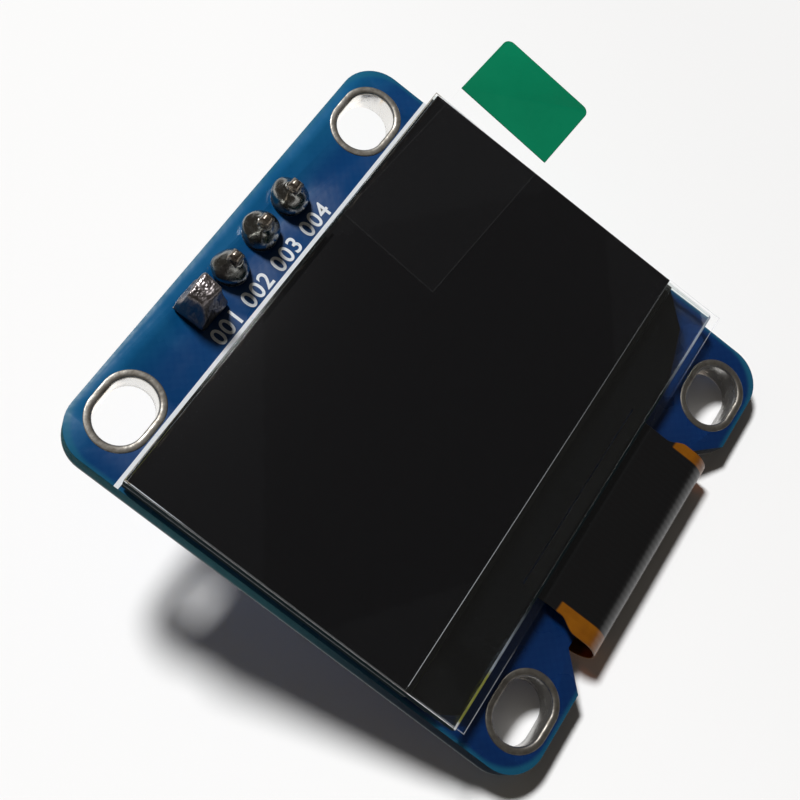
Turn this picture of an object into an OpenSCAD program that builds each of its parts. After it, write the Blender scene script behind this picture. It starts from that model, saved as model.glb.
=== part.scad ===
// Small OLED display module: a circuit board with slotted mounting holes, a glass display panel
// on its front, a pin header soldered through its upper edge and a flex cable folded round its
// lower edge. The origin is the centre of the mounting slots on the board's front face.
// +X runs along the pin header, +Y towards it, +Z out of the display. Sizes are in millimetres.

/* [Board] */
// Width of the board
board_w = 27; // [26.8:0.1:30]
// Height of the board
board_h = 28.2; // [28:0.1:30]
// Thickness of the board
board_t = 1.6; // [1:0.1:2]
// Radius of the board's corners
board_corner_r = 2; // [1:0.1:3]
// How far the board's centre lies above the centre of the mounting slots
board_rise = 0.1; // [0:0.05:0.3]

/* [Mounting slots] */
// Distance between the slots along X
slot_pitch_x = 20.6; // [20.2:0.1:21]
// Distance between the slots along Y
slot_pitch_y = 24; // [23.8:0.1:24.4]
// Width of a slot inside its plating
slot_w = 2.6; // [2:0.1:2.8]
// Length of a slot inside its plating, end to end
slot_l = 3.5; // [3:0.1:3.8]
// Width of the bare metal ring round a slot
slot_ring_w = 0.45; // [0.2:0.05:0.5]

/* [Flex notch] */
// Width of the notch at the board's lower edge
notch_mouth_w = 16.1; // [15.6:0.1:16.4]
// Depth of the notch, whose sides slope at 45 degrees
notch_depth = 1.65; // [1.2:0.05:1.8]
// X of the notch's centre line
notch_x = 0.1; // [-0.2:0.05:0.3]

/* [Display panel] */
// Width of the panel's glass
glass_w = 26.7; // [26:0.1:26.8]
// Height of the front glass, ledge included
glass_h = 19.26; // [19:0.02:19.4]
// Y of the panel's upper edge
glass_top = 9.95; // [9.8:0.05:10]
// Thickness of the front glass
front_glass_t = 0.7; // [0.5:0.05:0.8]
// Thickness of the rear cap glass
cap_glass_t = 0.55; // [0.5:0.05:0.7]
// Height of the clear ledge below the cap glass
ledge_h = 2.71; // [2.6:0.01:2.8]
// Thickness of the polarizer
polarizer_t = 0.2; // [0.1:0.05:0.25]
// How far the polarizer stops short of the glass at its left and right edges
polarizer_side_gap = 0.02; // [0.01:0.01:0.3]
// How far the polarizer stops short of the glass at its upper edge
polarizer_top_gap = 0.15; // [0.1:0.05:0.3]
// Height of the bare glass below the polarizer
polarizer_gap = 3.11; // [2.9:0.01:3.2]
// Thickness of the adhesive pad behind the panel
pad_t = 0.2; // [0.1:0.05:0.4]

/* [Film and pull tab] */
// Thickness of the protective film
film_t = 0.08; // [0.05:0.01:0.1]
// How far the film hangs past the glass at the lower edge
film_overhang = 0.32; // [0.1:0.02:0.5]
// Width of the pull tab
tab_w = 6; // [5:0.1:7]
// Length of the clear part of the pull tab
tab_clear_l = 10.35; // [9.6:0.05:11]
// Length of the coloured end of the pull tab
tab_grip_l = 4.5; // [3:0.1:6]
// Thickness of the pull tab
tab_t = 0.06; // [0.04:0.01:0.1]
// Angle by which the pull tab is stuck on askew, in degrees
tab_angle = -3.9; // [-6:0.1:6]

/* [Flex cable] */
// Width of the flex cable at its fold
flex_w = 12.3; // [11:0.1:12.6]
// Width of the flex cable near the glass
flex_neck_w = 11.4; // [10:0.1:11.4]
// Width of the flex cable's soldered tail
tail_w = 18.8; // [18.2:0.1:19.4]
// Thickness of the flex cable
flex_t = 0.1; // [0.08:0.01:0.14]
// X of the flex cable's centre line
flex_x = 0.3; // [0:0.05:0.4]
// Y of the fold's axis
fold_y = -12.6; // [-12.9:0.05:-12.4]
// Y of the end of the soldered tail
tail_end_y = -4; // [-5:0.1:-3.6]
// Number of contacts on the tail
contact_count = 30; // [10:1:30]
// Distance between contacts
contact_pitch = 0.6; // [0.5:0.02:0.6]

/* [Pin header] */
// Number of pins
pin_count = 4; // [3:1:5]
// Distance between pins
pin_pitch = 2.54; // [2.5:0.01:2.56]
// Side of a pin's square section
pin_side = 0.64; // [0.6:0.01:0.66]
// Height of the pins above the board's front face
pin_rise = 2; // [1.7:0.1:2.2]
// Overall length of a pin
pin_l = 11.7; // [9:0.1:14]
// Y of the row of pins
pin_y = 12.5; // [12.3:0.05:12.6]
// Height of the solder on the pins, apart from the first
solder_h = 1.35; // [1:0.05:1.6]
// Height of the solder on the first pin
first_solder_h = 1.8; // [1.4:0.05:1.9]

/* [Back side] */
// Length of a chip component
chip_l = 1.6; // [1.4:0.1:1.8]
// Width of a chip component
chip_w = 0.8; // [0.7:0.05:0.9]
// Height of a chip capacitor
capacitor_h = 0.8; // [0.5:0.05:0.9]
// Height of a chip resistor
resistor_h = 0.45; // [0.35:0.05:0.6]
// Length of a chip component's metal end
chip_end_l = 0.3; // [0.2:0.05:0.4]

/* [Hidden] */
$fn = 64;
plate_t = 0.04;                              // thickness of bare plated metal
ink_t = 0.02;                                // thickness of the printed line
board_back = -board_t;                       // Z of the board's back face
pad_back = board_back - plate_t;             // Z of the plated pads on the back
slot_run = slot_l - slot_w;                  // between the centres of a slot's two ends
slot_r = slot_w / 2;
ring_r = slot_r + slot_ring_w;
slot_places = [for (y = [1, -1], x = [-1, 1]) [x * slot_pitch_x / 2, y * slot_pitch_y / 2]];
notch_floor_y = board_rise - board_h / 2 + notch_depth;

cap_z = pad_t;                               // the panel's layers, from the board forwards
front_z = cap_z + cap_glass_t;
polarizer_z = front_z + front_glass_t;
film_z = polarizer_z + polarizer_t;
tab_z = film_z + film_t;
glass_bottom = glass_top - glass_h;
ledge_top = glass_bottom + ledge_h;
adhesive_inset = 0.8;

tab_start = [4, 6.77];                       // middle of the pull tab's stuck end
tab_corner_r = 0.45;

flex_out_z = front_z;                        // the cable's outer face on the front and back legs
flex_back_z = board_back - flex_t;
fold_r = (flex_out_z - flex_back_z) / 2;     // outer radius of the fold
fold_z = (flex_out_z + flex_back_z) / 2;
bond_top_y = glass_bottom + 1;               // the cable is bonded to the ledge below this line
neck_end_y = -11.4;                          // the neck widens below this line
tail_shoulder_y = -10.4;                     // the tail widens above this line
contact_w = 0.35;
contact_l = 1.5;
solder_pad_l = 1.2;

driver_size = [7, 0.9, 0.3];
driver_y = ledge_top - 0.9;

line_w = 0.26;                               // the printed line above the panel
line_y = glass_top + 0.03;

pin_hole_r = 0.5;
pin_pad_r = 0.95;
pin_tip = 0.25;                              // length of the bevel at a pin's ends
pin_xs = [for (i = [0 : pin_count - 1]) (i - (pin_count - 1) / 2) * pin_pitch];
header_h = 2.5;
header_bevel = 0.35;

// places of the components on the back: X, Y and the angle
capacitor_places = [[-8.6, 8.4, 0], [-4.4, 7.4, 90], [-1.6, 0.4, 90], [1, 0.4, 90], [3.6, 0.4, 90]];
resistor_places = [[-0.8, 8.2, 0], [3.2, 8.2, 0], [7.4, 5.4, 90], [9.9, 5.4, 90], [-4.2, 0.4, 90]];
regulator_place = [-8.6, 4.8];
regulator_size = [2.9, 1.3, 1];
regulator_gap = 0.1;                         // between the regulator's body and its pads
lead_w = 0.4;
lead_pitch = 0.95;
lead_feet = [[-lead_pitch, -1], [lead_pitch, -1], [0, 1]]; // X of each lead, and its side
lead_pad = [0.7, 0.8];
chip_pad = [0.6, 0.9];

function numbered(name, count) = [for (i = [1 : count]) str(name, "_", i)];

// ---- Outlines ----

module rounded_rectangle(w, h, r) {
    square([w - 2 * r, h], center = true);
    square([w, h - 2 * r], center = true);
    for (x = [-1, 1], y = [-1, 1])
        translate([x * (w / 2 - r), y * (h / 2 - r)]) circle(r);
}

// A slot along X whose ends have radius r
module slot_outline(r) {
    square([slot_run, 2 * r], center = true);
    for (x = [-1, 1])
        translate([x * slot_run / 2, 0]) circle(r);
}

module notch_outline() {
    mouth = notch_mouth_w / 2;
    top = mouth - notch_depth;
    spare = 1;                               // carries the cut past the board's edge
    translate([notch_x, notch_floor_y])
        polygon([[-top, 0], [top, 0], [mouth + spare, -notch_depth - spare],
                 [-mouth - spare, -notch_depth - spare]]);
}

// A rectangle from y0 to y1, of width w about the cable's centre line
module flex_band(w, y0, y1) {
    translate([flex_x - w / 2, y0]) square([w, y1 - y0]);
}

// ---- Board ----

module board() {
    color([0.05, 0.2, 0.45])
    translate([0, 0, board_back]) linear_extrude(board_t) difference() {
        translate([0, board_rise]) rounded_rectangle(board_w, board_h, board_corner_r);
        notch_outline();
        for (p = slot_places) translate(p) slot_outline(slot_r + plate_t);
        for (x = pin_xs) translate([x, pin_y]) circle(pin_hole_r);
    }
}

// The metal lining of one slot, with a ring on each face
module slot_plating(i) {
    color([0.55, 0.54, 0.52])
    translate(slot_places[i]) {
        translate([0, 0, board_back]) linear_extrude(board_t) difference() {
            slot_outline(slot_r + plate_t);
            slot_outline(slot_r);
        }
        for (z = [0, pad_back])
            translate([0, 0, z]) linear_extrude(plate_t) difference() {
                slot_outline(ring_r);
                slot_outline(slot_r);
            }
    }
}

module silk_line() {
    color([0.85, 0.88, 0.9])
    translate([-board_w / 2, line_y, 0]) cube([board_w, line_w, ink_t]);
}

// ---- Display panel ----

module adhesive_pad() {
    h = glass_h - ledge_h - 2 * adhesive_inset;
    color([0.9, 0.9, 0.88])
    translate([-glass_w / 2 + adhesive_inset, ledge_top + adhesive_inset, 0])
        cube([glass_w - 2 * adhesive_inset, h, pad_t]);
}

module cap_glass() {
    color([0.06, 0.06, 0.07])
    translate([-glass_w / 2, ledge_top, cap_z]) cube([glass_w, glass_h - ledge_h, cap_glass_t]);
}

module front_glass() {
    color([0.7, 0.75, 0.75, 0.4])
    translate([-glass_w / 2, glass_bottom, front_z]) cube([glass_w, glass_h, front_glass_t]);
}

module polarizer() {
    bottom = glass_bottom + polarizer_gap;
    color([0.05, 0.05, 0.06])
    translate([-glass_w / 2 + polarizer_side_gap, bottom, polarizer_z])
        cube([glass_w - 2 * polarizer_side_gap, glass_top - polarizer_top_gap - bottom, polarizer_t]);
}

module driver_outline() {
    translate([flex_x, driver_y]) square([driver_size.x, driver_size.y], center = true);
}

module driver_chip() {
    color([0.15, 0.15, 0.17])
    translate([0, 0, front_z - driver_size.z]) linear_extrude(driver_size.z) driver_outline();
}

// Dark resin behind the ledge, cut back at its corners
module ledge_coat() {
    half = glass_w / 2;
    color([0.04, 0.04, 0.04])
    translate([0, 0, front_z - flex_t]) linear_extrude(flex_t) difference() {
        polygon([[-half, ledge_top], [-half, ledge_top - 1.2], [-half + 1, glass_bottom],
                 [8.3, glass_bottom], [11.6, ledge_top - 1.6], [half - 0.2, ledge_top]]);
        driver_outline();
        flex_band(flex_neck_w, glass_bottom, bond_top_y);
    }
}

module protective_film() {
    color([0.8, 0.85, 0.9, 0.3])
    translate([-glass_w / 2, glass_bottom - film_overhang, film_z])
        cube([glass_w, glass_h + film_overhang, film_t]);
}

module place_tab() {
    translate([tab_start.x, tab_start.y, tab_z]) rotate(tab_angle) children();
}

module tab_clear() {
    color([0.85, 0.88, 0.88, 0.3])
    place_tab() translate([0, -tab_w / 2, 0]) cube([tab_clear_l, tab_w, tab_t]);
}

module tab_grip() {
    color([0.04, 0.45, 0.3])
    place_tab() linear_extrude(tab_t) intersection() {
        translate([tab_clear_l + (tab_grip_l - tab_corner_r) / 2, 0])
            rounded_rectangle(tab_grip_l + tab_corner_r, tab_w, tab_corner_r);
        translate([tab_clear_l, -tab_w / 2]) square([tab_grip_l, tab_w]);
    }
}

// ---- Flex cable ----

module flex_front_outline() {
    flex_band(flex_neck_w, neck_end_y, bond_top_y);
    shoulder = (flex_w - flex_neck_w) / 2;
    translate([flex_x, neck_end_y])
        polygon([[-flex_neck_w / 2, 0], [flex_neck_w / 2, 0], [flex_w / 2, -shoulder],
                 [-flex_w / 2, -shoulder]]);
    flex_band(flex_w, fold_y, neck_end_y - shoulder);
}

module flex_back_outline() {
    spread = (tail_w - flex_w) / 2;
    flex_band(flex_w, fold_y, tail_shoulder_y);
    translate([flex_x, tail_shoulder_y])
        polygon([[-flex_w / 2, 0], [flex_w / 2, 0], [tail_w / 2, spread], [-tail_w / 2, spread]]);
    flex_band(tail_w, tail_shoulder_y + spread, tail_end_y);
}

module flex_cable() {
    color([0.55, 0.32, 0.05]) {
        translate([0, 0, front_z - flex_t]) linear_extrude(flex_t) flex_front_outline();
        translate([flex_x - flex_w / 2, fold_y, fold_z])
            mirror([0, 1, 0]) rotate([0, 90, 0]) rotate_extrude(angle = 180)
                translate([fold_r - flex_t, 0]) square([flex_t, flex_w]);
        translate([0, 0, flex_back_z]) linear_extrude(flex_t) flex_back_outline();
    }
}

// Places its children at each contact along the tail
module each_contact() {
    for (i = [0 : contact_count - 1])
        translate([flex_x + (i - (contact_count - 1) / 2) * contact_pitch - contact_w / 2, 0, 0])
            children();
}

module flex_contacts() {
    color([0.75, 0.6, 0.3])
    each_contact() translate([0, tail_end_y - contact_l, flex_back_z - plate_t])
        cube([contact_w, contact_l, plate_t]);
}

module tail_pads() {
    color([0.7, 0.7, 0.68])
    each_contact() translate([0, tail_end_y, pad_back]) cube([contact_w, solder_pad_l, plate_t]);
}

// Solder that runs from each contact over the tail's end onto its pad
module tail_solder() {
    contact_z = flex_back_z - plate_t;
    bead_h = 0.15;
    color([0.75, 0.75, 0.74])
    each_contact() rotate([90, 0, 90]) linear_extrude(contact_w)
        polygon([[tail_end_y - contact_l + 0.2, contact_z], [tail_end_y, contact_z],
                 [tail_end_y, pad_back], [tail_end_y + solder_pad_l - 0.1, pad_back],
                 [tail_end_y + 0.5, contact_z - bead_h / 2],
                 [tail_end_y - 0.4, contact_z - bead_h],
                 [tail_end_y - 1, contact_z - bead_h]]);
}

// ---- Pin header ----

// The first pad is square, and the others are round
module pin_pad(i) {
    color([0.7, 0.7, 0.68])
    for (z = [0, pad_back])
        translate([pin_xs[i], pin_y, z]) linear_extrude(plate_t) difference() {
            if (i == 0) square(2 * pin_pad_r, center = true);
            else circle(pin_pad_r);
            circle(pin_hole_r);
        }
}

// A pin's side view, with its ends bevelled
module pin_profile() {
    half = pin_side / 2;
    tip = half / 2;
    polygon([[-half, pin_tip], [-tip, 0], [tip, 0], [half, pin_tip], [half, pin_l - pin_tip],
             [tip, pin_l], [-tip, pin_l], [-half, pin_l - pin_tip]]);
}

module pin_at(x) {
    translate([x, pin_y, pin_rise - pin_l]) intersection() {
        rotate([90, 0, 0]) linear_extrude(pin_side, center = true) pin_profile();
        rotate([90, 0, 90]) linear_extrude(pin_side, center = true) pin_profile();
    }
}

module pin(i) {
    color([0.8, 0.72, 0.5]) pin_at(pin_xs[i]);
}

// A cone of solder on the front pad, and the solder that fills the hole round the pin
module pin_solder(i) {
    foot = pin_pad_r - 0.05;
    h = i == 0 ? first_solder_h : solder_h;
    color([0.72, 0.72, 0.72])
    difference() {
        translate([pin_xs[i], pin_y, 0]) rotate_extrude()
            polygon([[0, board_back], [pin_hole_r, board_back], [pin_hole_r, plate_t], [foot, plate_t],
                     [foot * 0.8, plate_t + h * 0.3], [foot * 0.55, h * 0.75], [foot * 0.4, h], [0, h]]);
        pin_at(pin_xs[i]);
    }
}

module header_body() {
    color([0.05, 0.05, 0.05])
    difference() {
        for (x = pin_xs)
            translate([x, pin_y, pad_back - header_h]) linear_extrude(header_h) {
                square([pin_pitch, pin_pitch - 2 * header_bevel], center = true);
                square([pin_pitch - 2 * header_bevel, pin_pitch], center = true);
                polygon([for (s = [[1, 1], [-1, 1], [-1, -1], [1, -1]], k = [0, 1])
                    let (near = pin_pitch / 2 - header_bevel, far = pin_pitch / 2,
                         flip = s.x * s.y > 0 ? k : 1 - k)
                    [s.x * (flip == 0 ? far : near), s.y * (flip == 0 ? near : far)]]);
            }
        for (x = pin_xs) pin_at(x);
    }
}

// ---- Back side ----

module at_place(p) {
    translate([p[0], p[1], 0]) rotate(len(p) > 2 ? p[2] : 0) children();
}

module component_pads() {
    color([0.7, 0.7, 0.68])
    translate([0, 0, pad_back]) linear_extrude(plate_t) {
        for (p = concat(capacitor_places, resistor_places), s = [-1, 1])
            at_place(p) translate([s * (chip_l - chip_end_l) / 2, 0])
                square(chip_pad, center = true);
        for (foot = lead_feet)
            at_place(regulator_place)
                translate([foot[0], foot[1] * (regulator_size.y / 2 + 0.5)])
                    square(lead_pad, center = true);
    }
}

module chip_middle(p, h) {
    at_place(p) translate([0, 0, pad_back - h / 2])
        cube([chip_l - 2 * chip_end_l, chip_w, h], center = true);
}

module chip_ends(p, h) {
    for (s = [-1, 1])
        at_place(p) translate([s * (chip_l - chip_end_l) / 2, 0, pad_back - h / 2])
            cube([chip_end_l, chip_w, h], center = true);
}

module capacitor(i) {
    color([0.5, 0.38, 0.25]) chip_middle(capacitor_places[i], capacitor_h);
}

module capacitor_ends(i) {
    color([0.75, 0.75, 0.74]) chip_ends(capacitor_places[i], capacitor_h);
}

module resistor(i) {
    color([0.08, 0.08, 0.08]) chip_middle(resistor_places[i], resistor_h);
}

module resistor_ends(i) {
    color([0.75, 0.75, 0.74]) chip_ends(resistor_places[i], resistor_h);
}

module regulator_body() {
    bottom = pad_back - regulator_gap;
    color([0.07, 0.07, 0.08])
    translate([regulator_place.x, regulator_place.y, bottom - regulator_size.z / 2])
        cube(regulator_size, center = true);
}

// Each lead steps down from the body's side to its pad
module regulator_leads() {
    t = 0.12;
    knee = 0.5;
    color([0.75, 0.75, 0.74])
    for (foot = lead_feet)
        at_place(regulator_place)
            translate([foot[0], foot[1] * regulator_size.y / 2, pad_back])
                mirror([0, foot[1] < 0 ? 1 : 0, 0]) mirror([0, 0, 1])
                    rotate([90, 0, 90]) linear_extrude(lead_w, center = true)
                        polygon([[0, knee], [0, knee + t], [0.25, knee + t], [0.38, t], [0.7, t],
                                 [0.7, 0], [0.29, 0], [0.16, knee]]);
}

// ---- Nodes ----

board();
silk_line();
adhesive_pad();
cap_glass();
front_glass();
polarizer();
driver_chip();
ledge_coat();
protective_film();
tab_clear();
tab_grip();
flex_cable();
flex_contacts();
tail_pads();
tail_solder();
header_body();
component_pads();
regulator_body();
regulator_leads();

for (i = [0 : len(slot_places) - 1])
    slot_plating(i);

for (i = [0 : pin_count - 1]) {
    pin_pad(i);
    pin(i);
    pin_solder(i);
}

for (i = [0 : len(capacitor_places) - 1]) {
    capacitor(i);
    capacitor_ends(i);
}

for (i = [0 : len(resistor_places) - 1]) {
    resistor(i);
    resistor_ends(i);
}
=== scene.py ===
# %% [markdown]
# # Small OLED display module
# The real object is a blue circuit board with a glass display panel stuck to its front, four pins
# soldered through its upper edge and a flex cable folded round its lower edge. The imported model
# already holds every piece at its real size. This lesson gives each piece its finish, and models
# again the pieces whose real form is soft or hand-made: solder, flex, film and printed figures.

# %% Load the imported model
import math
import bmesh
import bpy
from mathutils import Matrix, Vector, noise


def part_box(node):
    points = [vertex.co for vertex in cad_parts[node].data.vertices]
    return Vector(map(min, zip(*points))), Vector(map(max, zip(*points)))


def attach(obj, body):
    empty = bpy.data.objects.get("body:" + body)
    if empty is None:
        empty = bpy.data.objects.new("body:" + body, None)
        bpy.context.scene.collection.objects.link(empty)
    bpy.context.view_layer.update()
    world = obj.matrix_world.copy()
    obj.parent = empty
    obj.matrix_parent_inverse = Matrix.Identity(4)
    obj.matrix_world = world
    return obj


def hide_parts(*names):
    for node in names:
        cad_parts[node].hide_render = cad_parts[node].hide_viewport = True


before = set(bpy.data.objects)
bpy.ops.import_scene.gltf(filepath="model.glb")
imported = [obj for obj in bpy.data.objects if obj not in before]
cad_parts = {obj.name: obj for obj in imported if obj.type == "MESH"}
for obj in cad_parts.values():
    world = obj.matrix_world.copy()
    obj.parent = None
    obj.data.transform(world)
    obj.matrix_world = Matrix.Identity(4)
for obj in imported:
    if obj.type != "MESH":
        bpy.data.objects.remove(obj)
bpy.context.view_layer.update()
MM = 0.001

# %% [markdown]
# ## Camera, light and floor
# The board stays flat in its own frame, so it is the floor that is tilted: it lies close under the
# board's lower edge and falls away under the header. One lamp beyond the header throws the long
# shadow, and a weak warm one from below lights the back. The floor can't be seen from its underside
# and stops no lamp light, so it never hides or darkens the back of the module.

# %% Camera
def axes_matrix(view, up):
    return Matrix((view.cross(up), up, -view)).transposed().to_4x4()


camera_place = Vector((-26.393, 6.737, 59.894)) * MM
camera_view = Vector((0.38581, -0.07636, -0.91942))
camera_up = Vector((0.74791, 0.60938, 0.26323))
bpy.ops.object.camera_add()
camera = bpy.context.object
camera.matrix_world = Matrix.Translation(camera_place) @ axes_matrix(camera_view, camera_up)
camera.data.lens = 57.97
camera.data.sensor_width = 36
camera.data.clip_start = 1 * MM
camera.data.clip_end = 20
bpy.context.scene.camera = camera
print("camera", round(camera_place.length / MM, 1), "mm from the origin")

# %% Nodes for finishes, in short calls
def srgb(*levels):
    """A colour given as 0 to 255 levels, as Blender's linear values."""
    linear = [((v / 255 + 0.055) / 1.055) ** 2.4 if v > 10 else v / 255 / 12.92 for v in levels]
    return (*linear, 1)


def feed(tree, socket, value):
    if isinstance(value, bpy.types.NodeSocket):
        tree.links.new(value, socket)
    else:
        socket.default_value = value


def add(tree, kind, inputs=None, **settings):
    """Adds a shader node, with its settings and its inputs by name or number."""
    made = tree.nodes.new("ShaderNode" + kind)
    for key, value in settings.items():
        setattr(made, key, value)
    for key, value in (inputs or {}).items():
        feed(tree, made.inputs[key], value)
    return made


def calc(tree, operation, first, second=0.0):
    return add(tree, "Math", {0: first, 1: second}, operation=operation).outputs[0]


def mixed(tree, share, first, second):
    return add(tree, "Mix", {0: share, 6: first, 7: second}, data_type="RGBA").outputs[2]


def step(tree, value, low, high, out_low=0.0, out_high=1.0):
    """A smooth change from out_low to out_high as the value goes from low to high."""
    return add(tree, "MapRange", {0: value, 1: low, 2: high, 3: out_low, 4: out_high},
               interpolation_type="SMOOTHSTEP").outputs[0]


def position(tree):
    """The place on the module in millimetres, as a vector and as X, Y and Z."""
    source = add(tree, "TexCoord").outputs["Object"]
    place = add(tree, "VectorMath", {0: source, 3: 1 / MM}, operation="SCALE").outputs[0]
    return place, *add(tree, "SeparateXYZ", {0: place}).outputs


def noise_at(tree, vector, scale, detail=3.0):
    return add(tree, "TexNoise", {"Vector": vector, "Scale": scale, "Detail": detail}).outputs[0]


def facing(tree, axis):
    """How far the surface faces along an axis, either way."""
    normal = add(tree, "NewGeometry").outputs["True Normal"]
    return calc(tree, "ABSOLUTE", add(tree, "SeparateXYZ", {0: normal}).outputs[axis])


def bumped(tree, height, depth):
    """A normal for relief of that depth in millimetres."""
    return add(tree, "Bump", {"Height": height, "Distance": depth * MM, "Strength": 1.0}).outputs[0]


def finish(name, **sockets):
    """A new material with one Principled surface and its plain values."""
    made = bpy.data.materials.new(name)
    made.use_nodes = True
    tree = made.node_tree
    surface = tree.nodes["Principled BSDF"]
    for label, value in sockets.items():
        surface.inputs[label.replace("_", " ")].default_value = value
    return made, tree, surface.inputs


# %% [markdown]
# The floor is pale, with a painted falloff of light that darkens it a little towards one side.
# The lamp alone would leave the shadow black, so a dim sky fills it.
# Only rays from the camera see the sky as white, which keeps the background pale.

# %% Floor, lamp and sky
floor_height = -8.38
floor_slope = Vector((0.01, -0.48))
lamp_travel = Vector((-0.337, -0.958, -1.0))
lamp_strength = 3.52
lamp_spread = math.radians(11.7)
fill_travel = Vector((-0.35, 0.3, 1))
fill_strength = 0.8
fill_spread = math.radians(30)
fill_tone = (1, 0.85, 0.7)
sky_strength = 0.06
bpy.ops.mesh.primitive_plane_add(size=4)
floor = bpy.context.object
floor.name = "floor"
floor_normal = Vector((-floor_slope.x, -floor_slope.y, 1))
floor.matrix_world = (Matrix.Translation((0, 0, floor_height * MM))
                      @ floor_normal.to_track_quat("Z", "Y").to_matrix().to_4x4())
paper, tree, surface = finish("pale_floor", Roughness=0.9, Specular_IOR_Level=0.1)
x, y, z = position(tree)[1:]
# Painted falloff of light: the floor's colour is a little darker towards one side.
away = step(tree, calc(tree, "SUBTRACT", y, x), -10.0, 45.0)
feed(tree, surface["Base Color"], mixed(tree, away, srgb(242, 242, 242), srgb(235, 235, 235)))
clear = add(tree, "BsdfTransparent").outputs[0]
beneath = add(tree, "NewGeometry").outputs["Backfacing"]
both = add(tree, "MixShader", {0: beneath, 1: tree.nodes["Principled BSDF"].outputs[0], 2: clear})
feed(tree, tree.nodes["Material Output"].inputs[0], both.outputs[0])
floor.data.materials.append(paper)
floor.visible_shadow = False


def sun(travel, strength, spread, tone=(1, 1, 1)):
    turn = travel.to_track_quat("-Z", "Y").to_euler()
    bpy.ops.object.light_add(type="SUN", rotation=turn)
    lamp = bpy.context.object.data
    lamp.energy = strength
    lamp.angle = spread
    lamp.color = tone


sun(lamp_travel, lamp_strength, lamp_spread)
sun(fill_travel, fill_strength, fill_spread, fill_tone)

world = bpy.data.worlds.new("sky")
world.use_nodes = True
bpy.context.scene.world = world
sky = world.node_tree
dim = add(sky, "Background", {0: srgb(255, 244, 230), 1: sky_strength}).outputs[0]
white = add(sky, "Background", {0: (1, 1, 1, 1), 1: 1.0}).outputs[0]
seen = add(sky, "LightPath").outputs
unturned = calc(sky, "LESS_THAN", calc(sky, "ADD", seen["Glossy Depth"], seen["Diffuse Depth"]), 0.5)
through = calc(sky, "MULTIPLY", seen["Is Transmission Ray"], unturned)
straight = calc(sky, "MAXIMUM", seen["Is Camera Ray"], through)
backdrop = add(sky, "MixShader", {0: straight, 1: dim, 2: white}).outputs[0]
feed(sky, sky.nodes["World Output"].inputs[0], backdrop)
bpy.context.scene.view_settings.view_transform = "Standard"
print("floor, lamp and sky are set")

# %% [markdown]
# ## Shared effects
# Dust settles on every surface, and metal and paint are never quite even. Both effects are node
# groups with a few dials, so that each finish can have its own share of them.

# %% Shared effects as node groups
def effect(name, inputs, outputs):
    tree = bpy.data.node_groups.new(name, "ShaderNodeTree")
    for label, kind, value in inputs:
        made = tree.interface.new_socket(label, in_out="INPUT", socket_type="NodeSocket" + kind)
        if kind == "Float":
            made.default_value = value
    for label in outputs:
        tree.interface.new_socket(label, in_out="OUTPUT", socket_type="NodeSocketFloat")
    return tree, tree.nodes.new("NodeGroupInput").outputs, tree.nodes.new("NodeGroupOutput").inputs


def use(tree, group, **inputs):
    made = tree.nodes.new("ShaderNodeGroup")
    made.node_tree = group
    for label, value in inputs.items():
        feed(tree, made.inputs[label], value)
    return made.outputs[0]


specks, given, result = effect(
    "specks", [("Place", "Vector", None), ("Spacing", "Float", 2.0), ("Share", "Float", 0.1)],
    ["Mask"])
tree = specks
cells = add(tree, "TexVoronoi", {"Vector": given["Place"],
                                 "Scale": calc(tree, "DIVIDE", 1.0, given["Spacing"])})
chance = add(tree, "SeparateXYZ", {0: cells.outputs["Color"]}).outputs
chosen = calc(tree, "LESS_THAN", chance[0], given["Share"])
size = calc(tree, "MULTIPLY", chance[1], 0.045)
feed(tree, result[0], calc(tree, "MULTIPLY", chosen,
                           calc(tree, "LESS_THAN", cells.outputs["Distance"], size)))


blotches, given, result = effect(
    "blotches", [("Place", "Vector", None), ("Spacing", "Float", 1.0), ("Contrast", "Float", 0.2)],
    ["Mask"])
tree = blotches
cloud = noise_at(tree, given["Place"], calc(tree, "DIVIDE", 1.0, given["Spacing"]), 4.0)
low = calc(tree, "SUBTRACT", 0.5, given["Contrast"])
high = calc(tree, "ADD", 0.5, given["Contrast"])
feed(tree, result[0], step(tree, cloud, low, high))
print("effects:", [g.name for g in bpy.data.node_groups])

# %% [markdown]
# ## Ways of working
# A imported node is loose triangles. A copy of it has its corners merged and its flat faces joined,
# and then a Bevel modifier rounds its edges, because no real edge is perfectly sharp. What has no
# packed form good enough starts from a primitive and is shaped in edit mode.

# %% Helpers for pieces
weld = 0.002 * MM
sharp_angle = math.radians(35)


def only(piece):
    bpy.ops.object.select_all(action="DESELECT")
    piece.select_set(True)
    bpy.context.view_layer.objects.active = piece
    return piece


def pick(piece, kind, test):
    """In edit mode, selects the vertices, edges or faces whose middle passes the test."""
    bpy.ops.mesh.select_mode(type=kind)
    bpy.ops.mesh.select_all(action="DESELECT")
    mesh = bmesh.from_edit_mesh(piece.data)
    for part in {"VERT": mesh.verts, "EDGE": mesh.edges, "FACE": mesh.faces}[kind]:
        corners = [part] if kind == "VERT" else part.verts
        part.select = test(sum((v.co for v in corners), Vector()) / len(corners) / MM)
    mesh.select_flush_mode()
    bmesh.update_edit_mesh(piece.data)


def modify(piece, kind, **settings):
    """Adds a modifier and applies it."""
    made = piece.modifiers.new(kind.lower(), kind)
    for key, value in settings.items():
        setattr(made, key, value)
    only(piece)
    bpy.ops.object.modifier_apply(modifier=made.name)
    return piece


def place_mesh(piece):
    """Puts a piece's place into its mesh."""
    only(piece)
    bpy.ops.object.transform_apply(location=True, rotation=True, scale=True)
    return piece


def settle(piece, name, slot, material, *nodes, smooth=35):
    """Names a finished piece, gives it its material and fixes it to the module."""
    place_mesh(piece)
    piece.name = piece.data.name = name
    if smooth:
        bpy.ops.object.shade_smooth_by_angle(angle=math.radians(smooth))
    piece.data.materials.clear()
    piece.data.materials.append(material)
    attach(piece, "root")
    if nodes:
        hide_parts(*nodes)
    return piece


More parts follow.
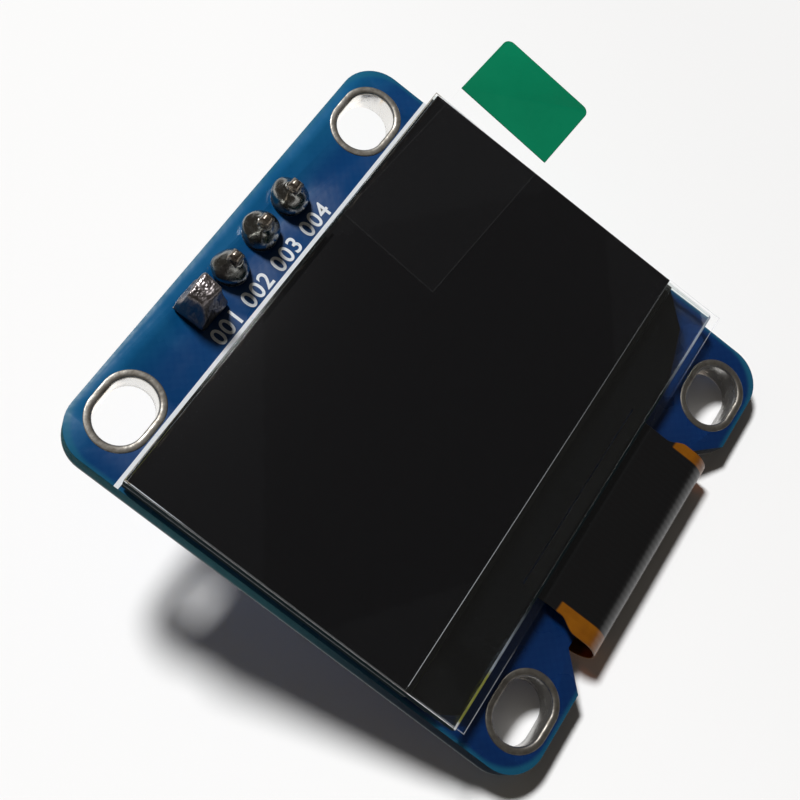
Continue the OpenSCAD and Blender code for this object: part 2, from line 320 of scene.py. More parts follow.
def merged(node):
    """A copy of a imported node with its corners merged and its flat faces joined."""
    piece = bpy.data.objects.new(node + "_copy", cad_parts[node].data.copy())
    bpy.context.collection.objects.link(piece)
    only(piece)
    bpy.ops.object.mode_set(mode="EDIT")
    bpy.ops.mesh.select_all(action="SELECT")
    bpy.ops.mesh.remove_doubles(threshold=weld)
    bpy.ops.mesh.dissolve_limited(angle_limit=math.radians(0.5))
    bpy.ops.object.mode_set(mode="OBJECT")
    return piece


def rounded(piece, width, segments=2):
    return modify(piece, "BEVEL", width=width * MM, segments=segments, limit_method="ANGLE",
                  angle_limit=sharp_angle)


def softened(node, width, segments=2):
    """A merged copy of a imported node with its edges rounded."""
    return rounded(merged(node), width, segments)


def turned(profile, centre, run=0.0, sides=48):
    """A ring swept round a slot or a hole. The profile is a closed list of radius and height, and
    run is the length of the slot's straight sides."""
    (radius, height), middle = profile[0], Vector((*centre, 0)) * MM
    bpy.ops.object.select_all(action="DESELECT")
    bpy.ops.mesh.primitive_circle_add(vertices=sides, radius=radius * MM,
                                      location=middle + Vector((0, 0, height * MM)))
    ring = place_mesh(bpy.context.object)
    bpy.ops.object.mode_set(mode="EDIT")
    bpy.ops.mesh.select_all(action="SELECT")
    for wider, higher in profile[1:] + profile[:1]:
        rise = (0, 0, (higher - height) * MM)
        bpy.ops.mesh.extrude_edges_move(TRANSFORM_OT_translate={"value": rise})
        bpy.ops.transform.resize(value=(wider / radius, wider / radius, 1), center_override=middle)
        radius, height = wider, higher
    bpy.ops.mesh.select_all(action="SELECT")
    bpy.ops.mesh.remove_doubles(threshold=weld)
    for side in (-1, 1) if run else ():
        pick(ring, "VERT", lambda p: (p.x - centre[0]) * side > 0.001)
        bpy.ops.transform.translate(value=(side * run / 2 * MM, 0, 0))
    bpy.ops.mesh.select_all(action="SELECT")
    bpy.ops.mesh.normals_make_consistent(inside=False)
    bpy.ops.object.mode_set(mode="OBJECT")
    return ring


def dress(material, *nodes):
    """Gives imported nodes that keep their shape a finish."""
    for node in nodes:
        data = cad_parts[node].data
        data.materials.clear()
        data.materials.append(material)


def count_of(name):
    """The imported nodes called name_1, name_2 and so on."""
    return sorted(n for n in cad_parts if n.rsplit("_", 1)[0] == name and n[-1].isdigit())


print("helpers are ready")

# %% [markdown]
# ## Circuit board
# The board is glass cloth and resin, routed to shape, with blue lacquer on both faces. The routed
# edge shows the grey-green layers of cloth, with painted shade towards the board's lower edge and a
# painted highlight along its back corner. The lacquer is glossy and thin, and the weave shows
# through faintly. A painted sheen makes it greener near the upper edge, and painted shade darker
# towards the lower edge.

# %% Blue lacquer over glass cloth
lacquer, tree, surface = finish("blue_lacquer", Roughness=0.3, Specular_IOR_Level=0.35,
                                Coat_Weight=0.08, Coat_Roughness=0.12)
place, x, y, z = position(tree)
cloudy = noise_at(tree, place, 0.35)
# Painted sheen: the lacquer turns greener towards the upper edge, where light glances off it.
rise = calc(tree, "ADD", y, calc(tree, "MULTIPLY", calc(tree, "SUBTRACT", cloudy, 0.5), 3.0))
greener = step(tree, rise, 11.4, 14.6)
# Painted shade: the lacquer darkens towards the lower edge, away from the lamp.
lower = step(tree, y, 9.0, -9.0)
blue = mixed(tree, lower, srgb(4, 56, 106), srgb(6, 38, 84))
blue = mixed(tree, greener, blue, srgb(14, 94, 140))
threads = 12.0
weave = calc(tree, "MULTIPLY", calc(tree, "SINE", calc(tree, "MULTIPLY", x, threads)),
             calc(tree, "SINE", calc(tree, "MULTIPLY", y, threads)))
blue = mixed(tree, calc(tree, "MULTIPLY", calc(tree, "ADD", weave, 1.0), 0.008), blue,
             srgb(70, 140, 190))
dust = use(tree, specks, Place=place, Spacing=1.3, Share=0.1)
blue = mixed(tree, calc(tree, "MULTIPLY", dust, 0.5), blue, srgb(160, 190, 210))
board_low, board_high = (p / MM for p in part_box("board"))
corner_round = 2.5
reach = [calc(tree, "MAXIMUM", calc(tree, "SUBTRACT", calc(tree, "ABSOLUTE", calc(
    tree, "SUBTRACT", along, (low + high) / 2)), (high - low) / 2 - corner_round), 0.0)
    for along, low, high in ((x, board_low.x, board_high.x), (y, board_low.y, board_high.y))]
reach = add(tree, "CombineXYZ", {0: reach[0], 1: reach[1]}).outputs[0]
reach = add(tree, "VectorMath", {0: reach}, operation="LENGTH").outputs["Value"]
rim_width = 0.3
pale_rim = step(tree, reach, corner_round - rim_width, corner_round, 0.0, 0.5)
blue = mixed(tree, pale_rim, blue, srgb(30, 104, 124))
# The lacquer's rounded edge faces are a darker teal.
bevel_share = step(tree, facing(tree, 2), 0.99, 0.8)
feed(tree, surface["Base Color"], mixed(tree, bevel_share, blue, srgb(8, 56, 68)))
feed(tree, surface["Roughness"], step(tree, cloudy, 0.2, 0.8, 0.16, 0.4))
relief = calc(tree, "ADD", noise_at(tree, place, 2.5), calc(tree, "MULTIPLY", weave, 0.1))
feed(tree, surface["Normal"], bumped(tree, relief, 0.006))

routed, tree, surface = finish("routed_edge", Roughness=0.9, Specular_IOR_Level=0.1)
place, x, y, z = position(tree)
layers = add(tree, "Mapping", {"Vector": place, "Scale": (1.2, 1.2, 9.0)}).outputs[0]
strands = noise_at(tree, layers, 1.6, 4.0)
cloth = mixed(tree, strands, srgb(6, 50, 58), srgb(34, 98, 108))
# Painted shade: the routed edge is darker towards the board's lower edge.
low_cloth = mixed(tree, strands, srgb(10, 20, 32), srgb(26, 42, 56))
cloth = mixed(tree, step(tree, y, 4.0, -8.0), cloth, low_cloth)
# Painted highlight: a pale grey band along the back corner of the routed edge, where it catches
# light.
painted_edge_glint = step(tree, z, -1.22, -1.5, 0.0, 0.85)
feed(tree, surface["Base Color"], mixed(tree, painted_edge_glint, cloth, srgb(132, 138, 138)))
feed(tree, surface["Normal"], bumped(tree, noise_at(tree, layers, 6.0), 0.03))


side_share = 0.65


def select_sides(piece, *directions):
    """In edit mode, selects the faces that look along any of the directions."""
    bpy.ops.mesh.select_mode(type="FACE")
    bpy.ops.mesh.select_all(action="DESELECT")
    mesh = bmesh.from_edit_mesh(piece.data)
    for face in mesh.faces:
        face.select = any(face.normal.dot(Vector(d)) > side_share for d in directions)
    bmesh.update_edit_mesh(piece.data)


def paint_sides(piece, material, *directions):
    """Gives the faces that look along any of the directions a material of their own."""
    piece.data.materials.append(material)
    only(piece)
    bpy.ops.object.mode_set(mode="EDIT")
    select_sides(piece, *directions)
    piece.active_material_index = len(piece.data.materials) - 1
    bpy.ops.object.material_slot_assign()
    bpy.ops.object.mode_set(mode="OBJECT")


compass = 16
all_round = [(math.cos(turn), math.sin(turn), 0)
             for turn in (2 * math.pi / compass * i for i in range(compass))]
board = settle(softened("board", 0.05), "circuit_board", "solder_mask", lacquer, "board")
paint_sides(board, routed, *all_round)
print(board.name, len(board.data.polygons), "faces")

# %% [markdown]
# ## Plated slots
# Each mounting slot is lined with copper and tinned. Tin pulls into a soft crown on the ring and
# rounds over the lip of the hole. The ring is one closed profile swept round the slot.

# %% Tinned slot linings
tinned, tree, surface = finish("dull_tin", Metallic=0.9)
place, x, y, z = position(tree)
mottle = use(tree, blotches, Place=place, Spacing=0.5, Contrast=0.25)
# Painted shade and painted dark reflection darken the lower slots' rings and walls.
painted_shade_below = step(tree, y, -6.0, 6.0, 0.55, 0.0)
ring = mixed(tree, mottle, srgb(126, 120, 112), srgb(186, 182, 174))
ring = mixed(tree, painted_shade_below, ring, srgb(62, 58, 52))
wall = step(tree, facing(tree, 2), 0.45, 0.2)
lining_tone = mixed(tree, painted_shade_below, srgb(240, 238, 234), srgb(20, 18, 16))
feed(tree, surface["Base Color"], mixed(tree, wall, ring, lining_tone))
roughness = step(tree, mottle, 0.0, 1.0, 0.5, 0.38)
feed(tree, surface["Roughness"], calc(tree, "SUBTRACT", roughness,
                                      calc(tree, "MULTIPLY", wall, 0.2)))
feed(tree, surface["Normal"], bumped(tree, noise_at(tree, place, 2.0, 3.0), 0.03))

slot_wall = 1.3
slot_run = 0.9
lining = [(1.71, -0.02), (1.71, 0.01), (1.69, 0.03), (1.64, 0.045), (1.5, 0.05), (1.42, 0.04),
          (1.36, 0.01), (1.32, -0.04), (slot_wall, -0.1)]
lining += [(r, board_low.z - h) for r, h in reversed(lining)]
for node in count_of("slot_plating"):
    low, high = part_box(node)
    middle = (low + high) / 2 / MM
    rim = turned(lining, middle.xy, slot_run)
    settle(rim, node.replace("plating", "lining"), "plated_copper", tinned, node, smooth=60)
print("slot linings:", len(count_of("slot_plating")))

# %% [markdown]
# ## Pins and solder
# Solder wets the pad and climbs the pin, so each joint is a small mound with the pin's tip standing
# out of it. Hand soldering leaves lumps, dark flux at the foot and no two joints alike. The first
# pad is square and holds so much solder that it hides its pin.
# The lumps come from noise with a fixed seed, so they are the same on every run.

# %% Solder, flux and pins
def solder_finish(name, light, dark, polish, streaks, grain):
    """Solder with burnt flux at its foot. Polish is its roughness, streaks the stretch of its lumps
    and grain their depth."""
    made, tree, surface = finish(name)
    place, x, y, z = position(tree)
    foot = step(tree, calc(tree, "ADD", z, noise_at(tree, place, 1.5)), 1.0, 0.55)
    feed(tree, surface["Base Color"], mixed(tree, foot, light, dark))
    feed(tree, surface["Metallic"], step(tree, foot, 0.0, 1.0, 1.0, 0.3))
    cloud = use(tree, blotches, Place=place, Spacing=0.4, Contrast=0.2)
    feed(tree, surface["Roughness"], step(tree, cloud, 0.0, 1.0, polish, polish + 0.14))
    lumps = add(tree, "Mapping", {"Vector": place, "Scale": streaks}).outputs[0]
    feed(tree, surface["Normal"], bumped(tree, noise_at(tree, lumps, 1.6, 1.0), grain))
    return made


solder = solder_finish("solder", srgb(152, 152, 148), srgb(26, 24, 20), 0.17, (1, 1, 1), 0.06)
dull_solder = solder_finish("dull_solder", srgb(132, 126, 126), srgb(34, 30, 30), 0.3,
                            (3, 3, 0.7), 0.08)

pin_metal, tree, surface = finish("pin_metal", Metallic=1.0)
place, x, y, z = position(tree)
wet = step(tree, calc(tree, "ADD", z, noise_at(tree, place, 3.0)), 0.8, 1.3)
wet = calc(tree, "MULTIPLY", wet, 0.75)
tip = step(tree, z, -0.2, 0.4)
bare = mixed(tree, tip, srgb(214, 178, 110), srgb(158, 144, 128))
feed(tree, surface["Base Color"], mixed(tree, wet, bare, srgb(140, 132, 122)))
feed(tree, surface["Roughness"], step(tree, noise_at(tree, place, 5.0), 0.3, 0.7, 0.2, 0.4))
feed(tree, surface["Normal"], bumped(tree, noise_at(tree, place, 4.0), 0.03))


lump_seed = 3
noise.seed_set(lump_seed)


def lumpy(piece, depth, size, seed, keep_below):
    """Pushes a mound in and out by smooth noise, and leaves its foot where it is."""
    shift = Vector((seed * 7.3, seed * 3.1, 0))
    for v in piece.data.vertices:
        lump = noise.noise_vector(v.co / MM / size + shift) * depth
        v.co += lump * MM * min(1, max(0, (v.co.z / MM - keep_below) * 3))
    return piece


mound = [(0.5, -1.55), (0.5, 0.02), (0.92, 0.02), (0.96, 0.12), (0.97, 0.3), (0.95, 0.48),
         (0.9, 0.66), (0.82, 0.83), (0.72, 0.98), (0.61, 1.11), (0.52, 1.21), (0.45, 1.31),
         (0.4, 1.4), (0.34, 1.45), (0.25, 1.4), (0.25, -1.5)]
pin_nodes = count_of("pin")
pin_places = [((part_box(n)[0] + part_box(n)[1]) / 2 / MM).xy for n in pin_nodes]
for number in (2, 3, 4):
    joint = turned(mound, pin_places[number - 1], sides=40)
    modify(joint, "SUBSURF", levels=1, render_levels=1)
    lumpy(joint, 0.22, 1.5, number, 0.1)
    settle(joint, f"solder_joint_{number}", "solder", solder, f"pin_solder_{number}", smooth=60)
for node in pin_nodes:
    settle(softened(node, 0.06), node.replace("pin", "header_pin"), "pin_metal", pin_metal, node)
print("joints and pins:", len(pin_nodes))

# %% The first joint
heap_half = Vector((1.04, 1.04))
heap_top = 2.05
heap_middle = Vector((*pin_places[0], 0)) + Vector((-0.04, -0.02, heap_top / 2 + 0.02))
bpy.ops.object.select_all(action="DESELECT")
bpy.ops.mesh.primitive_cube_add(size=2 * MM, location=heap_middle * MM)
heap = bpy.context.object
heap.scale = (*heap_half, heap_top / 2)
place_mesh(heap)
bpy.ops.object.mode_set(mode="EDIT")
pick(heap, "FACE", lambda p: p.z > heap_top)
bpy.ops.transform.resize(value=(0.7, 0.5, 1))
bpy.ops.transform.translate(value=(0.05 * MM, 0.12 * MM, 0))
bpy.ops.mesh.select_all(action="SELECT")
bpy.ops.mesh.subdivide(number_cuts=4, smoothness=0)
bpy.ops.object.mode_set(mode="OBJECT")
modify(heap, "SUBSURF", levels=2, render_levels=2)
lumpy(heap, 0.2, 1.3, 5, 0.1)
settle(heap, "solder_joint_1", "solder", dull_solder, "pin_solder_1", smooth=60)
print(heap.name, len(heap.data.polygons), "faces")

# %% [markdown]
# ## Printing
# White ink marks the edge of the panel and numbers the pins. It lies on the lacquer and is thin in
# spots. The figures are text, given a little height and made a mesh.

# %% White ink
ink, tree, surface = finish("white_ink", Roughness=0.55)
place = position(tree)[0]
thin = step(tree, noise_at(tree, place, 5.0, 4.0), 0.6, 0.85)
feed(tree, surface["Base Color"], mixed(tree, thin, srgb(232, 236, 240), srgb(150, 182, 214)))
feed(tree, surface["Normal"], bumped(tree, noise_at(tree, place, 12.0), 0.006))
dress(ink, "silk_line")

figure_height = 0.88
figure_gap = 0.14
figure_share = 0.7
figure_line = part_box("silk_line")[1].y / MM + figure_gap
for number, place in enumerate(pin_places, 1):
    bpy.ops.object.text_add(location=(place.x * MM, figure_line * MM, 0.004 * MM))
    figure = bpy.context.object
    figure.data.body = f"{number:03d}"
    figure.data.size = figure_height / figure_share * MM
    figure.data.align_x = "CENTER"
    figure.data.space_character = 1.1
    figure.data.offset = 0.02 * MM
    figure.data.extrude = 0.006 * MM
    bpy.ops.object.convert(target="MESH")
    settle(bpy.context.object, f"pin_number_{number}", "white_ink", ink, smooth=0)
print("figures at Y", round(figure_line, 2))

# %% [markdown]
# ## Display panel
# The panel is two panes of glass. The front one sticks out below the rear one as a clear ledge,
# where the flex cable is bonded, and a black polarizer covers the rest. The front pane keeps true
# glass and lets the lamp through; the bright bars on its lower chamfer are a painted glow.

# %% Glass
def clear_to_lamps(tree, tint):
    """Lets lamp light through a shader that would otherwise cast a solid shadow."""
    out = tree.nodes["Material Output"].inputs[0]
    own = out.links[0].from_socket
    open_way = add(tree, "BsdfTransparent", {0: tint}).outputs[0]
    shadow = add(tree, "LightPath").outputs["Is Shadow Ray"]
    feed(tree, out, add(tree, "MixShader", {0: shadow, 1: own, 2: open_way}).outputs[0])


pane, tree, surface = finish("clear_pane", Roughness=0.02, IOR=1.5, Transmission_Weight=1.0,
                             Base_Color=srgb(240, 248, 246))
clear_to_lamps(tree, (0.75, 0.78, 0.78, 1))

# Painted glow: bright bars on the front pane's lower chamfer near its ends, dark over the flex.
edge_with_painted_glow, tree, surface = finish("edge_with_painted_glow", Roughness=0.7, Specular_IOR_Level=0.02)
place, x, y, z = position(tree)
splinters = noise_at(tree, add(tree, "Mapping", {"Vector": place, "Scale": (1, 3, 3)}).outputs[0],
                     1.6, 4.0)
chamfer = step(tree, facing(tree, 2), 0.3, 0.5)
dark_middle = 0.8
from_flex = calc(tree, "ABSOLUTE", calc(tree, "SUBTRACT", x, dark_middle))
ragged = calc(tree, "ADD", from_flex, calc(tree, "MULTIPLY", splinters, 1.6))
lit = calc(tree, "MULTIPLY", step(tree, ragged, 7.4, 11.6), chamfer)
lit = calc(tree, "MULTIPLY", lit, step(tree, splinters, 0.25, 0.5, 0.7, 1.0))
glow = mixed(tree, step(tree, x, -9.9, -10.4), srgb(196, 208, 222), srgb(176, 178, 84))
glow = mixed(tree, step(tree, x, -12.85, -13.05), glow, srgb(250, 252, 255))
feed(tree, surface["Base Color"], mixed(tree, lit, srgb(6, 26, 30), glow))
feed(tree, surface["Normal"], bumped(tree, splinters, 0.02))

dark_pane, tree, surface = finish("dark_pane", Roughness=0.12)
place = position(tree)[0]
chips = noise_at(tree, place, 3.5, 5.0)
side = step(tree, facing(tree, 2), 0.6, 0.3)
feed(tree, surface["Base Color"], mixed(tree, calc(tree, "MULTIPLY", side, chips),
                                        srgb(12, 13, 15), srgb(26, 52, 56)))
feed(tree, surface["Normal"], bumped(tree, calc(tree, "MULTIPLY", chips, side), 0.05))


ground_edge, tree, surface = finish("ground_edge")
place = position(tree)[0]
frost = mixed(tree, noise_at(tree, place, 6.0), srgb(244, 248, 248), srgb(254, 254, 254))
glowing = add(tree, "BsdfTranslucent", {0: frost}).outputs[0]
feed(tree, surface["Base Color"], frost)
feed(tree, surface["Roughness"], 0.8)
both = add(tree, "MixShader", {0: 0.6, 1: tree.nodes["Principled BSDF"].outputs[0], 2: glowing})
feed(tree, tree.nodes["Material Output"].inputs[0], both.outputs[0])

ledge_chamfer = 0.19
pane_lift = 0.01
front = merged("front_glass")
glass_low, glass_high = (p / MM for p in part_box("front_glass"))
bpy.ops.object.mode_set(mode="EDIT")
pick(front, "EDGE", lambda p: p.y < glass_low.y + 0.01 and p.z > glass_high.z - 0.01)
bpy.ops.mesh.bevel(offset=ledge_chamfer * MM, segments=1)
bpy.ops.object.mode_set(mode="OBJECT")
rounded(front, 0.03, 1)
front.data.transform(Matrix.Translation((0, 0, pane_lift * MM)))
settle(front, "front_pane", "clear_glass", pane, "front_glass")
paint_sides(front, edge_with_painted_glow, (0, -1, 0), (-1, 0, 0))
paint_sides(front, ground_edge, (1, 0, 0))
rear = settle(softened("cap_glass", 0.04), "rear_pane", "dark_glass", dark_pane, "cap_glass")
paint_sides(rear, edge_with_painted_glow, *all_round)
print("panes:", len(front.data.polygons), "faces in front")

# %% Polarizer and resin
polarizer, tree, surface = finish("polarizer", Roughness=0.16)
place = position(tree)[0]
marks = use(tree, specks, Place=place, Spacing=1.6, Share=0.12)
black = mixed(tree, marks, srgb(14, 14, 16), srgb(66, 66, 68))
feed(tree, surface["Base Color"], black)
resin, tree, surface = finish("black_resin", Roughness=0.12, Specular_IOR_Level=0.15)
x, y, z = position(tree)[1:]
flex_middle = 0.3
fan_half = 10.0
aside = calc(tree, "ABSOLUTE", calc(tree, "SUBTRACT", x, flex_middle))
fan = calc(tree, "SINE", calc(tree, "MULTIPLY", calc(tree, "SUBTRACT", aside, y), 14.0))
inside = calc(tree, "LESS_THAN", aside, fan_half)
lines = calc(tree, "MULTIPLY", calc(tree, "GREATER_THAN", fan, 0.55), inside)
feed(tree, surface["Base Color"], mixed(tree, lines, srgb(3, 3, 4), srgb(10, 10, 12)))

sheet = settle(softened("polarizer", 0.03), "polarizer_sheet", "polarizer_film", polarizer,
               "polarizer")
paint_sides(sheet, edge_with_painted_glow, *all_round)
dress(resin, "ledge_coat", "driver_chip")
foam, tree, surface = finish("foam_tape", Roughness=0.9, Base_Color=srgb(222, 220, 214))
dress(foam, "adhesive_pad")
print("panel layers are dressed")

# %% [markdown]
# ## Protective film and pull tab
# The film is thin clear plastic, stuck on by hand, so its rim lifts a little here and there. Where
# it lifts, and along the crease over the polarizer's edge, a painted highlight makes it show. The
# tab is clear tape with a green end, and a painted highlight marks the tape's edges. The film is
# made of a plane cut into a grid, with its rim moved up by a smooth wave, and then given its
# thickness.

# %% Film and tape
film_low, film_high = (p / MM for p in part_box("protective_film"))
step_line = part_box("polarizer")[0].y / MM
film, tree, surface = finish("clear_film", Roughness=0.12)
place, x, y, z = position(tree)
half_x = film_high.x
half_y = (film_high.y - film_low.y) / 2
from_x = calc(tree, "SUBTRACT", half_x, calc(tree, "ABSOLUTE", x))
middle_y = (film_high.y + film_low.y) / 2
off_y = calc(tree, "ABSOLUTE", calc(tree, "SUBTRACT", y, middle_y))
from_y = calc(tree, "SUBTRACT", half_y, off_y)
edge = step(tree, calc(tree, "MINIMUM", from_x, from_y), 0.05, 0.03)
corner = calc(tree, "ADD", calc(tree, "DIVIDE", calc(tree, "ABSOLUTE", x), half_x),
              calc(tree, "DIVIDE", off_y, half_y))
uneven = noise_at(tree, place, 0.9, 3.0)
# Painted highlight: the film's rim shows pale where it lifts near the corners.
painted_rim_glint = step(tree, calc(tree, "ADD", corner, calc(tree, "MULTIPLY", uneven, 0.3)), 1.72, 2.1,
              0.01, 0.6)
painted_rim_glint = calc(tree, "MULTIPLY", painted_rim_glint, step(tree, y, -3.0, 5.0, 0.3, 1.0))
streaks = add(tree, "Mapping", {"Vector": place, "Scale": (0.35, 3, 1)}).outputs[0]
streaks = step(tree, noise_at(tree, streaks, 3.5, 4.0), 0.5, 0.68)
top_gap = calc(tree, "SUBTRACT", film_high.y, y)
grime = calc(tree, "MULTIPLY", step(tree, top_gap, 0.36, 0.24), streaks)
# Painted highlight: a thin pale line where the film creases over the polarizer's edge.
painted_crease_glint = step(tree, calc(tree, "ABSOLUTE", calc(tree, "SUBTRACT", y, step_line)), 0.024, 0.01)
painted_crease_glint = calc(tree, "MULTIPLY", painted_crease_glint, step(tree, x, 14.0, -12.0, 0.03, 0.24))
painted_crease_glint = calc(tree, "MULTIPLY", painted_crease_glint, calc(tree, "GREATER_THAN", x, -13.1))
shares = [calc(tree, "MULTIPLY", edge, painted_rim_glint), calc(tree, "MULTIPLY", grime, 0.04), painted_crease_glint]
total = 0.002
for share in shares:
    total = calc(tree, "MAXIMUM", total, share)
feed(tree, surface["Alpha"], total)
feed(tree, surface["Base Color"], mixed(tree, step(tree, top_gap, 0.4, 0.3), srgb(226, 232, 238),
                                        srgb(178, 168, 152)))
tape, tree, surface = finish("clear_tape", Roughness=0.3, Base_Color=srgb(228, 230, 232))
# Painted highlight: the tape's edges show as faint pale lines.
rim = step(tree, facing(tree, 2), 0.85, 0.5)
feed(tree, surface["Alpha"], step(tree, rim, 0.0, 1.0, 0.001, 0.1))
green, tree, surface = finish("green_tape", Roughness=0.5, Specular_IOR_Level=0.1)
place = position(tree)[0]
feed(tree, surface["Base Color"], mixed(tree, noise_at(tree, place, 0.5), srgb(0, 114, 78),
                                        srgb(4, 124, 86)))
feed(tree, surface["Normal"], bumped(tree, noise_at(tree, place, 2.0), 0.02))


def sheet_grid(low, high, cells):
    """A flat grid between two corners, in millimetres, at the lower corner's height."""
    middle = (low + high) / 2
    bpy.ops.object.select_all(action="DESELECT")
    bpy.ops.mesh.primitive_grid_add(x_subdivisions=cells[0], y_subdivisions=cells[1], size=1,
                                    location=(middle.x * MM, middle.y * MM, low.z * MM))
    piece = bpy.context.object
    piece.scale = ((high.x - low.x) * MM, (high.y - low.y) * MM, 1)
    return place_mesh(piece)


corner_from = 1.7
ripple_from = 1.2
film_sheet = sheet_grid(film_low, film_high, (72, 54))
film_middle = (film_low + film_high) / 2
film_half = (film_high - film_low) / 2
for v in film_sheet.data.vertices:
    p = v.co / MM - film_middle
    cornered = abs(p.x) / film_half.x + abs(p.y) / film_half.y
    wave = 0.5 + 0.5 * noise.noise(p * 0.3)
    curl = 0.5 * max(0, cornered - corner_from) ** 2
    ripple = 0.02 * wave * max(0, cornered - ripple_from)
    v.co.z += (curl + ripple) * MM
modify(film_sheet, "SOLIDIFY", thickness=(film_high.z - film_low.z) * 0.5 * MM, offset=1)
settle(film_sheet, "film_sheet", "clear_film", film, "protective_film")
settle(softened("tab_clear", 0.015, 1), "pull_tab_clear", "clear_tape", tape, "tab_clear")
settle(softened("tab_grip", 0.02, 1), "pull_tab_end", "green_tape", green, "tab_grip")
print("film and tab are on")

# %% [markdown]
# ## Flex cable
# The cable is amber film with copper lines under a black print that stops short of both edges. It
# leaves the ledge, swells a little, folds round the board's edge and is soldered behind. It starts
# as one edge, which is extruded step by step and spun round the fold.

# %% Flex cable
flex, tree, surface = finish("flex_print", Roughness=0.3)
place, x, y, z = position(tree)
print_middle = flex_middle + 0.22
print_half = 5.3
print_blur = 0.06
tail_spread = 3.2
across = calc(tree, "ABSOLUTE", calc(tree, "SUBTRACT", x, print_middle))
behind = calc(tree, "MULTIPLY", calc(tree, "LESS_THAN", z, -1.5), step(tree, y, -10.6, -8.0))
spread = calc(tree, "MULTIPLY", behind, tail_spread)
bare = step(tree, across, calc(tree, "ADD", spread, print_half),
            calc(tree, "ADD", spread, print_half + print_blur))
# Painted shadow: the bare amber edges on the front are black down to about Y -11, the panel's
# shadow.
past_painted_shadow = step(tree, calc(tree, "ADD", y, calc(tree, "MULTIPLY", x, 0.07)), -10.9, -11.05)
front_side = calc(tree, "LESS_THAN", z, 0.0)
bare = calc(tree, "MULTIPLY", bare, calc(tree, "MAXIMUM", past_painted_shadow, front_side))
track_pitch = 0.34
ridges = calc(tree, "SINE", calc(tree, "MULTIPLY", x, 2 * math.pi / track_pitch))
amber = mixed(tree, noise_at(tree, place, 1.2), srgb(98, 54, 2), srgb(136, 82, 6))
bonded = step(tree, y, -9.4, -9.2)
ink_black = mixed(tree, bonded, srgb(14, 14, 15), srgb(3, 3, 4))
feed(tree, surface["Roughness"], step(tree, bonded, 0.0, 1.0, 0.3, 0.12))
feed(tree, surface["Base Color"], mixed(tree, bare, ink_black, amber))
brown = mixed(tree, bare, (0, 0, 0, 1), (0.2, 0.1, 0.05, 1))
shaded = add(tree, "BsdfTransparent", {0: brown}).outputs[0]
out = tree.nodes["Material Output"].inputs[0]
feed(tree, out, add(tree, "MixShader", {0: add(tree, "LightPath").outputs["Is Shadow Ray"],
                                        1: tree.nodes["Principled BSDF"].outputs[0],
                                        2: shaded}).outputs[0])
ridges = calc(tree, "MULTIPLY", ridges, calc(tree, "SUBTRACT", 1.0, bonded))
feed(tree, surface["Normal"], bumped(tree, ridges, 0.003))

flex_low, flex_high = (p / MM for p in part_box("flex_cable"))
fold_r = (flex_high.z - flex_low.z) / 2
fold_y = flex_low.y + fold_r
fold_z = flex_low.z + fold_r
neck = 11.4
widest = 12.3
tail = flex_high.x - flex_low.x
start_y = -8.4
swell_y = -10.9
swollen_y = -12.0
flare_y = -10.4
flared_y = -7.4
first_run = 0.2
flex_thick = 0.1
bpy.ops.object.select_all(action="DESELECT")
bpy.ops.mesh.primitive_plane_add(size=1)
cable = bpy.context.object
cable.scale = (neck * MM, first_run * MM, 1)
cable.location = (flex_middle * MM, (start_y - first_run / 2) * MM, flex_high.z * MM)
place_mesh(cable)
bpy.ops.object.mode_set(mode="EDIT")
pick(cable, "EDGE", lambda p: p.y < start_y - first_run + 0.01)


def run_on(y_from, y_to, w_from, w_to, steps):
    """Extrudes the open end along Y, while its width changes smoothly."""
    done, width = y_from, w_from
    for i in range(1, steps + 1):
        share = i / steps
        goal = y_from + (y_to - y_from) * share
        wide = w_from + (w_to - w_from) * (3 - 2 * share) * share * share
        bpy.ops.mesh.extrude_edges_move(TRANSFORM_OT_translate={"value": (0, (goal - done) * MM, 0)})
        bpy.ops.transform.resize(value=(wide / width, 1, 1),
                                 center_override=(flex_middle * MM, goal * MM, 0))
        done, width = goal, wide


run_on(start_y - first_run, swell_y, neck, neck, 3)
run_on(swell_y, swollen_y, neck, widest, 8)
run_on(swollen_y, fold_y, widest, widest, 2)
bpy.ops.mesh.spin(steps=24, angle=-math.pi, axis=(1, 0, 0), center=(0, fold_y * MM, fold_z * MM))
run_on(fold_y, flare_y, widest, widest, 4)
run_on(flare_y, flared_y, widest, tail, 14)
run_on(flared_y, flex_high.y, tail, tail, 4)
bpy.ops.mesh.select_all(action="SELECT")
bpy.ops.mesh.remove_doubles(threshold=weld)
bpy.ops.mesh.normals_make_consistent(inside=False)
bpy.ops.object.mode_set(mode="OBJECT")
modify(cable, "SOLIDIFY", thickness=flex_thick * MM, offset=-1)
modify(cable, "BEVEL", width=0.02 * MM, segments=1, limit_method="ANGLE",
       angle_limit=math.radians(50))
settle(cable, "flex_ribbon", "flex_laminate", flex, "flex_cable")
print(cable.name, len(cable.data.polygons), "faces")

# %% [markdown]
# ## The back
# Behind the board sit the header's plastic block, the cable's solder joints and the small parts
# that feed the display. Moulded plastic is fine and matte, and fired ceramic is grainy.

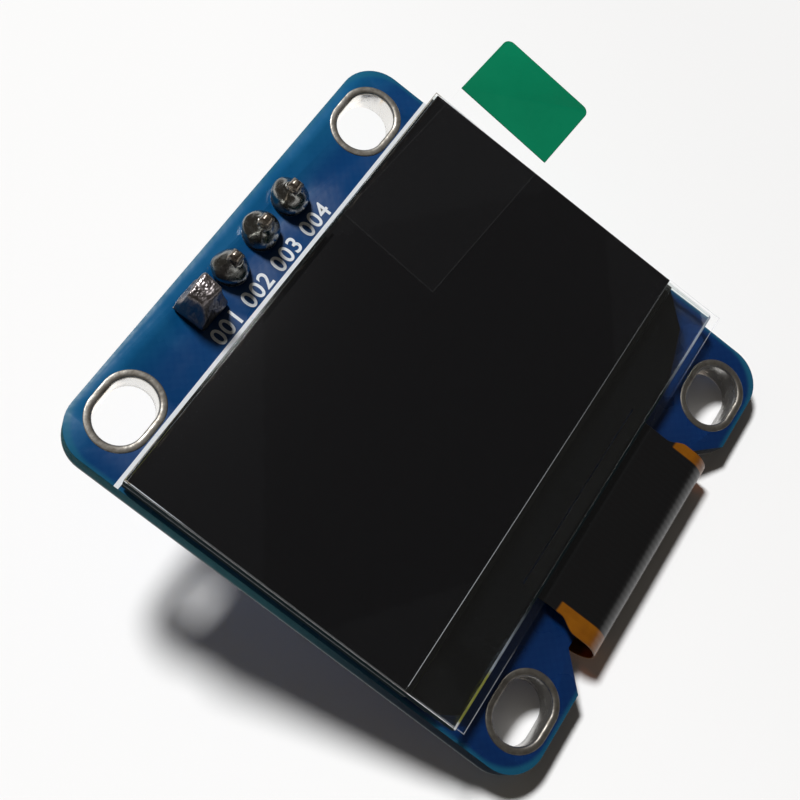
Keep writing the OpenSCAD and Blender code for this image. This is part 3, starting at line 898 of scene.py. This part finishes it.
# %% Plastic, ceramic and plated ends
plastic, tree, surface = finish("header_plastic", Roughness=0.45, Base_Color=srgb(22, 22, 23))
place = position(tree)[0]
feed(tree, surface["Normal"], bumped(tree, noise_at(tree, place, 9.0, 4.0), 0.02))
moulded, tree, surface = finish("moulded_resin", Roughness=0.6, Base_Color=srgb(30, 30, 32))
place = position(tree)[0]
feed(tree, surface["Normal"], bumped(tree, noise_at(tree, place, 16.0, 4.0), 0.02))
ceramic, tree, surface = finish("capacitor_ceramic", Roughness=0.6)
place = position(tree)[0]
feed(tree, surface["Base Color"], mixed(tree, noise_at(tree, place, 6.0, 5.0),
                                        srgb(128, 98, 66), srgb(168, 136, 98)))
glaze, tree, surface = finish("resistor_coat", Roughness=0.3, Base_Color=srgb(20, 20, 22))
place = position(tree)[0]
feed(tree, surface["Normal"], bumped(tree, noise_at(tree, place, 5.0), 0.02))
bright, tree, surface = finish("bright_tin", Metallic=1.0)
place = position(tree)[0]
feed(tree, surface["Base Color"], mixed(tree, noise_at(tree, place, 3.0), srgb(190, 190, 190),
                                        srgb(226, 226, 224)))
feed(tree, surface["Roughness"], step(tree, noise_at(tree, place, 6.0), 0.3, 0.7, 0.2, 0.4))
feed(tree, surface["Normal"], bumped(tree, noise_at(tree, place, 4.0), 0.03))

settle(softened("header_body", 0.08), "header_block", "header_plastic", plastic, "header_body")
settle(softened("regulator_body", 0.08), "regulator", "moulded_resin", moulded, "regulator_body")
settle(softened("regulator_leads", 0.02, 1), "regulator_legs", "tinned_leads", bright,
       "regulator_leads")
settle(softened("tail_solder", 0.04), "tail_joints", "solder", bright, "tail_solder")
for node in count_of("capacitor"):
    settle(softened(node, 0.04), node + "_body", "capacitor_ceramic", ceramic, node)
for node in count_of("resistor"):
    settle(softened(node, 0.03), node + "_body", "resistor_coat", glaze, node)
for node in count_of("capacitor_ends") + count_of("resistor_ends"):
    settle(softened(node, 0.05), node.replace("ends", "caps"), "tinned_ends", bright, node)
dress(bright, "flex_contacts", "tail_pads", "component_pads", *count_of("pin_pad"))
print("back parts are dressed")
